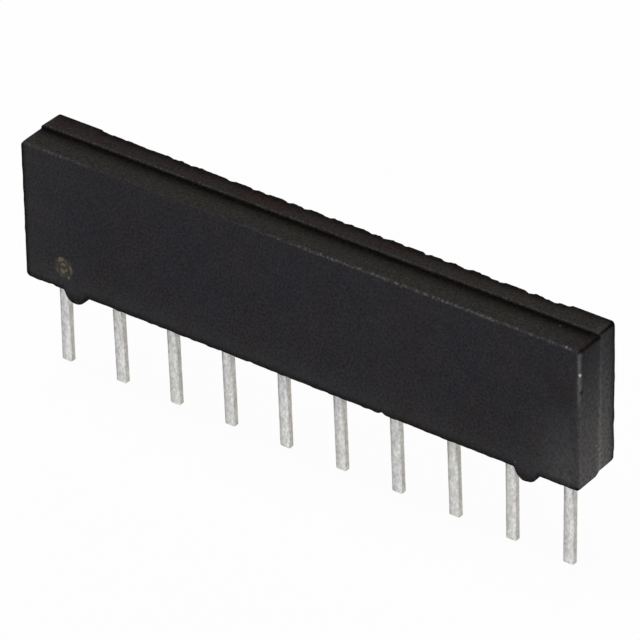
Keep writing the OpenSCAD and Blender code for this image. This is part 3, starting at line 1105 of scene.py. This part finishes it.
@dataclass
class LeadRow:
    """The flat tinned leads: rounded stamped bars with a crowned front, a slight lean and a trimmed tip."""

    names: list[str]
    corner_r: float = 0.03 * MM
    crown: float = 0.012 * MM
    tip_chamfer: float = 0.05 * MM
    uneven: float = 0.005 * MM
    wander: float = 0.5 * MM
    # Painted light and shade across a lead: dark at the left edge, paler to the right, with a painted
    # highlight by the right corner.
    tone: Curve = Curve((-1.0, -0.8, -0.45, 0.0, 0.45, 0.74, 0.88, 0.97),
                        (0.46, 0.74, 0.90, 1.0, 1.07, 1.18, 0.96, 1.25))
    # Painted shade and painted reflection of the dark body on the leads just below it, strongest at their
    # edges.
    near_body: Band = Band(1.15 * MM, 0.58)
    near_right: Fade = Fade((0.4, 0.95), (0.0, 1.5))
    near_left: Fade = Fade((-0.4, -0.8), (0.0, 0.9))
    near_middle: float = 0.1
    side_from: float = 0.99
    side_band: Span = (0.5, 0.05)
    body_z: float = 0.45 * MM
    tip_tone: float = 0.52
    tip_share: float = 0.96
    tip_rows: tuple[Triple, ...] = ((0.0, 1.0, 0.6), (0.25, 0.5, 0.85), (0.6, 0.15, 0.97), (1.0, 0.0, 1.0))
    tip_gap: float = 1.6
    stem_rows: int = 56
    sharp_deg: float = 50.0
    around: int = 4
    front_points: int = 9
    row_shift: float = -0.03 * MM
    lean_pivot_z: float = -2.0 * MM
    lean_fade: Fade = Fade((1.6 * MM, 0.6 * MM))
    lean_deg: tuple[float, ...] = (0.6, 2.0, 2.0, 2.1, 1.8, 2.1, 2.1, 2.1, 1.0, 0.4)
    longer: tuple[float, ...] = (-0.035, -0.03, -0.015, -0.03, -0.03, -0.01, 0.0, 0.05, 0.08, 0.13)
    aside: tuple[float, ...] = (0.0, 0.005, 0.0, 0.0, 0.0, 0.0, -0.005, -0.005, -0.01, -0.04)

    def stem_half(self, name: str) -> float:
        """Half of a lead's width below the seating plane, read from its solid."""
        low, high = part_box(name)
        middle = (low.x + high.x) / 2
        return max(abs(v.co.x - middle) for v in frame["nodes"][name].data.vertices if v.co.z < 0.0)

    def profile(self, name: str, longer: float) -> list[Triple]:
        """Sections of one lead from tip to paddle.

        Args:
            name: The lead's node.
            longer: Length added at the trimmed tip.

        Returns:
            For each section, its height, its half width and its share of the thickness.
        """
        low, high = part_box(name)
        stem = self.stem_half(name)
        wing = (high.x - low.x) / 2
        middle = low.x + wing
        corners = frame["nodes"][name].data.vertices
        shoulder = min(v.co.z for v in corners if abs(v.co.x - middle) > self.side_from * wing)
        chamfer = self.tip_chamfer
        tip_z = low.z - longer
        tip = [(tip_z + up * chamfer, stem - cut * chamfer, share) for up, cut, share in self.tip_rows]
        heights = np.linspace(tip_z + self.tip_gap * chamfer, shoulder - (wing - stem), self.stem_rows)
        return tip + [(z, stem, 1.0) for z in heights] + [(shoulder, wing, 1.0), (high.z, wing, 1.0)]

    def section(self, half: float, thick: float) -> np.ndarray:
        """Loop of (x, y) points of one section: rounded corners and a slightly crowned front face.

        Args:
            half: Half of the section's width.
            thick: Half of the section's thickness.

        Returns:
            The loop, starting at the front right corner.
        """
        r = min(self.corner_r, 0.6 * thick)
        loop = []
        for quarter, (sx, sy) in enumerate(((1, -1), (1, 1), (-1, 1), (-1, -1))):
            for step in range(self.around + 1):
                angle = math.radians(-90.0 + 90.0 * (quarter + step / self.around))
                loop.append((sx * (half - r) + r * math.cos(angle), sy * (thick - r) + r * math.sin(angle)))
        across = np.linspace(-1.0, 1.0, self.front_points + 2)[1:-1]
        front = [(share * (half - r), -thick) for share in across]
        points = np.array(loop + front)
        bow = (points[:, 0] / half) ** 2
        points[:, 1] += np.where(points[:, 1] < 0.0, bow * self.crown, 0.0)
        return points

    def tones(self, place: np.ndarray, z: float, share: float) -> np.ndarray:
        """Painted light and shade of one section: paler to the right with a painted highlight by the right
        corner, dark at the left edge, darker by the body as painted shade and reflection of it, and darker at
        the tip.

        Args:
            place: Points across the section, from -1 to 1.
            z: The section's height.
            share: The section's share of the thickness.

        Returns:
            One factor for each point.
        """
        edges = np.maximum(self.near_right.on(place), self.near_left.on(place))
        near = self.near_body.on(max(self.body_z - z, 0.0))
        near = near * (self.near_middle + (1.0 - self.near_middle) * edges) * (np.abs(place) < self.side_from)
        tip = self.tip_tone if share < self.tip_share else 1.0
        return self.tone.on(place) * (1.0 - near) * tip

    def build_one(self, number: int, tin: bpy.types.Material) -> bpy.types.Object:
        """Makes one dressed lead in place of its solid.

        Args:
            number: The lead's place in the row, from 0.
            tin: The leads' material.

        Returns:
            The new piece.
        """
        name = self.names[number]
        low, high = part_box(name)
        middle = np.array([(low.x + high.x) / 2, (low.y + high.y) / 2])
        profile = self.profile(name, self.longer[number] * MM)
        heights = np.array([z for z, _, _ in profile])
        drift = ripple(heights, self.wander, number) * self.uneven
        lean = math.tan(math.radians(self.lean_deg[number])) * (self.lean_pivot_z - heights)
        shifts = (self.row_shift + self.aside[number] * MM + lean) * self.lean_fade.on(heights)
        rings, tones, sides = [], [], []
        for (z, half, share), wander, shift in zip(profile, drift, shifts):
            flat = self.section(half, share * (high.y - low.y) / 2)
            place = flat[:, 0] / half
            tones.append(self.tones(place, z, share))
            start, end = (1.0 - inward * self.corner_r / half for inward in self.side_band)
            sides.append(ramp(np.abs(place), start, end))
            flat[:, 0] = flat[:, 0] * (1.0 - abs(wander) / half) + wander * 0.5 + shift
            rings.append(np.column_stack([flat + middle, np.full(len(flat), z)]))
        count = len(rings[0])
        faces = [tuple(range(count))[::-1], tuple(range((len(rings) - 1) * count, len(rings) * count))]
        faces += tube_faces(0, len(rings), count)
        piece = mesh_piece("tinned_" + name, np.concatenate(rings), faces, self.sharp_deg)
        set_mark(piece, Mark.TONE, np.concatenate(tones))
        set_mark(piece, Mark.SIDE, np.concatenate(sides))
        piece.data.materials.append(tin)
        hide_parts(name)
        return piece

    def build(self, finish: DullTin) -> list[bpy.types.Object]:
        """Makes every lead."""
        tin = finish.material()
        return [self.build_one(number, tin) for number in range(len(self.names))]


@dataclass
class InnerCircuit:
    """The sealed ceramic strip with its prints and solder: the solids stay, with finishes of their own."""

    finishes: dict[str, FiredPrint]

    def dress(self) -> int:
        """Gives each inner solid its finish.

        Returns:
            The number of solids dressed.
        """
        dressed = 0
        for prefix, finish in self.finishes.items():
            material = finish.material()
            for name, node in frame["nodes"].items():
                if name.startswith(prefix):
                    node.data.materials.clear()
                    node.data.materials.append(material)
                    dressed += 1
        return dressed


@dataclass(frozen=True)
class SoftLamp:
    """One soft square lamp."""

    name: str
    place: Triple
    size: float
    power: float
    aim: Triple = (0.0, 0.0, 0.0)
    colour: Colour = (1.0, 1.0, 1.0)

    def build(self) -> None:
        """Hangs the lamp, unseen by the camera."""
        data = bpy.data.lights.new(self.name, "AREA")
        data.size = self.size
        data.energy = self.power
        data.color = self.colour
        lamp = bpy.data.objects.new(self.name, data)
        lamp.location = self.place
        lamp.rotation_euler = (Vector(self.aim) - Vector(self.place)).to_track_quat("-Z", "Y").to_euler()
        lamp.visible_camera = False
        bpy.context.scene.collection.objects.link(lamp)


@dataclass
class Studio:
    """Pale floor, soft light and a long-lens camera at the photograph's angle."""

    floor_z: float
    floor_size: float = 2.0
    floor_colour: Colour = (0.82, 0.82, 0.82)
    floor_roughness: float = 0.9
    shadow_share: float = 0.05
    sky: float = 0.36
    azimuth_deg: float = 36.4599
    elevation_deg: float = 32.3155
    roll_deg: float = -0.5238
    distance: float = 235.881 * MM
    aim: Triple = (-0.461 * MM, 1.052 * MM, 1.771 * MM)
    lens: float = 363.769
    sensor: float = 36.0
    clip: Span = (1.0 * MM, 10.0)

    def seen_directly(self, tree: bpy.types.NodeTree) -> bpy.types.NodeSocket:
        """1 for rays from the camera, from gloss and through glass, and 0 for light that bounces on."""
        path = tree.nodes.new("ShaderNodeLightPath")
        total = path.outputs["Is Camera Ray"]
        for key in ("Is Glossy Ray", "Is Transmission Ray"):
            add = tree.nodes.new("ShaderNodeMath")
            add.operation = "MAXIMUM"
            tree.links.new(total, add.inputs[0])
            tree.links.new(path.outputs[key], add.inputs[1])
            total = add.outputs["Value"]
        return total

    def build_floor(self) -> None:
        """Lays the floor: pale, white where it is seen, with a faint shadow left in it."""
        half = self.floor_size / 2
        mesh = bpy.data.meshes.new("floor")
        corners = ((-half, -half), (half, -half), (half, half), (-half, half))
        mesh.from_pydata([(x, y, self.floor_z) for x, y in corners], [], [(0, 1, 2, 3)])
        floor = bpy.data.objects.new("floor", mesh)
        bpy.context.scene.collection.objects.link(floor)
        floor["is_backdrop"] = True
        material = bpy.data.materials.new("pale_floor")
        material.use_nodes = True
        tree = material.node_tree
        shader = tree.nodes["Principled BSDF"]
        shader.inputs["Base Color"].default_value = (*self.floor_colour, 1.0)
        shader.inputs["Roughness"].default_value = self.floor_roughness
        shader.inputs["Specular IOR Level"].default_value = 0.0
        glow = tree.nodes.new("ShaderNodeEmission")
        share = tree.nodes.new("ShaderNodeMath")
        share.operation = "MULTIPLY"
        share.inputs[1].default_value = 1.0 - self.shadow_share
        tree.links.new(self.seen_directly(tree), share.inputs[0])
        mix = tree.nodes.new("ShaderNodeMixShader")
        tree.links.new(share.outputs["Value"], mix.inputs["Fac"])
        tree.links.new(shader.outputs["BSDF"], mix.inputs[1])
        tree.links.new(glow.outputs["Emission"], mix.inputs[2])
        tree.links.new(mix.outputs["Shader"], tree.nodes["Material Output"].inputs["Surface"])
        mesh.materials.append(material)

    def build_sky(self) -> None:
        """Sets the world: white where it is seen, and an even grey light otherwise."""
        world = bpy.data.worlds.new("sky")
        world.use_nodes = True
        bpy.context.scene.world = world
        tree = world.node_tree
        seen = tree.nodes["Background"]
        seen.inputs["Color"].default_value = (1.0, 1.0, 1.0, 1.0)
        light = tree.nodes.new("ShaderNodeBackground")
        light.inputs["Strength"].default_value = self.sky
        mix = tree.nodes.new("ShaderNodeMixShader")
        tree.links.new(self.seen_directly(tree), mix.inputs["Fac"])
        tree.links.new(light.outputs["Background"], mix.inputs[1])
        tree.links.new(seen.outputs["Background"], mix.inputs[2])
        tree.links.new(mix.outputs["Shader"], tree.nodes["World Output"].inputs["Surface"])

    def build_camera(self) -> None:
        """Sets the camera on its axis through the aim point."""
        azimuth, elevation = math.radians(self.azimuth_deg), math.radians(self.elevation_deg)
        level = math.cos(elevation)
        back = Vector((math.sin(azimuth) * level, -math.cos(azimuth) * level, math.sin(elevation)))
        roll = Matrix.Rotation(math.radians(self.roll_deg), 3, back)
        right = roll @ Vector((math.cos(azimuth), math.sin(azimuth), 0.0))
        turned = Matrix((right, back.cross(right), back)).transposed().to_4x4()
        data = bpy.data.cameras.new("camera")
        data.lens = self.lens
        data.sensor_width = self.sensor
        data.clip_start, data.clip_end = self.clip
        camera = bpy.data.objects.new("camera", data)
        camera.matrix_world = Matrix.Translation(Vector(self.aim) + back * self.distance) @ turned
        bpy.context.scene.collection.objects.link(camera)
        bpy.context.scene.camera = camera

    def build(self, lamps: list[SoftLamp]) -> None:
        """Sets up floor, sky, lamps and camera, and the plain view transform."""
        self.build_floor()
        self.build_sky()
        for lamp in lamps:
            lamp.build()
        self.build_camera()
        bpy.context.scene.view_settings.view_transform = "Standard"


def main() -> None:
    """Builds and dresses every piece."""
    logging.basicConfig(level=logging.INFO, format="%(message)s")
    solid_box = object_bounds()
    low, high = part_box("moulded_body")
    leads = sorted(name for name in frame["nodes"] if name.startswith("lead_"))
    first, second = (sum(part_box(name), Vector((0.0, 0.0, 0.0))) / 2 for name in leads[:2])
    body = MouldedBody(low, high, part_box(leads[0])[1].y, abs(first.x + second.x) / 2)
    block = body.build(MouldedEpoxy(), PinOneMark())
    LOG.info("body: %s with %d faces", block.name, len(block.data.polygons))
    LOG.info("leads: %d", len(LeadRow(leads).build(DullTin())))
    circuit = InnerCircuit({
        "substrate": FiredPrint("alumina", (0.82, 0.79, 0.73), roughness=0.7),
        "glass_coat": FiredPrint("overglaze", (0.05, 0.15, 0.1), roughness=0.25),
        "conductor_": FiredPrint("silver_print", (0.42, 0.42, 0.40), roughness=0.5, metallic=0.8),
        "element_": FiredPrint("resistive_print", (0.035, 0.03, 0.028), roughness=0.6),
        "solder_": FiredPrint("solder", (0.60, 0.61, 0.62), roughness=0.35, metallic=1.0),
    })
    LOG.info("inner solids: %d", circuit.dress())
    lamps = [
        SoftLamp("top_lamp", (-0.12, -0.05, 0.45), size=0.35, power=1.1),
        SoftLamp("front_lamp", (0.22, -0.36, 0.22), size=0.35, power=1.14),
        SoftLamp("back_lamp", (-0.18, 0.42, 0.12), size=0.35, power=1.2),
    ]
    Studio(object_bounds()[0].z).build(lamps)
    boxes = {"cad": solid_box, "visual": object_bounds()}
    for key, box in boxes.items():
        LOG.info("%s box, mm: %s", key, [[round(v / MM, 3) for v in corner] for corner in box])


if __name__ == "__main__":
    main()
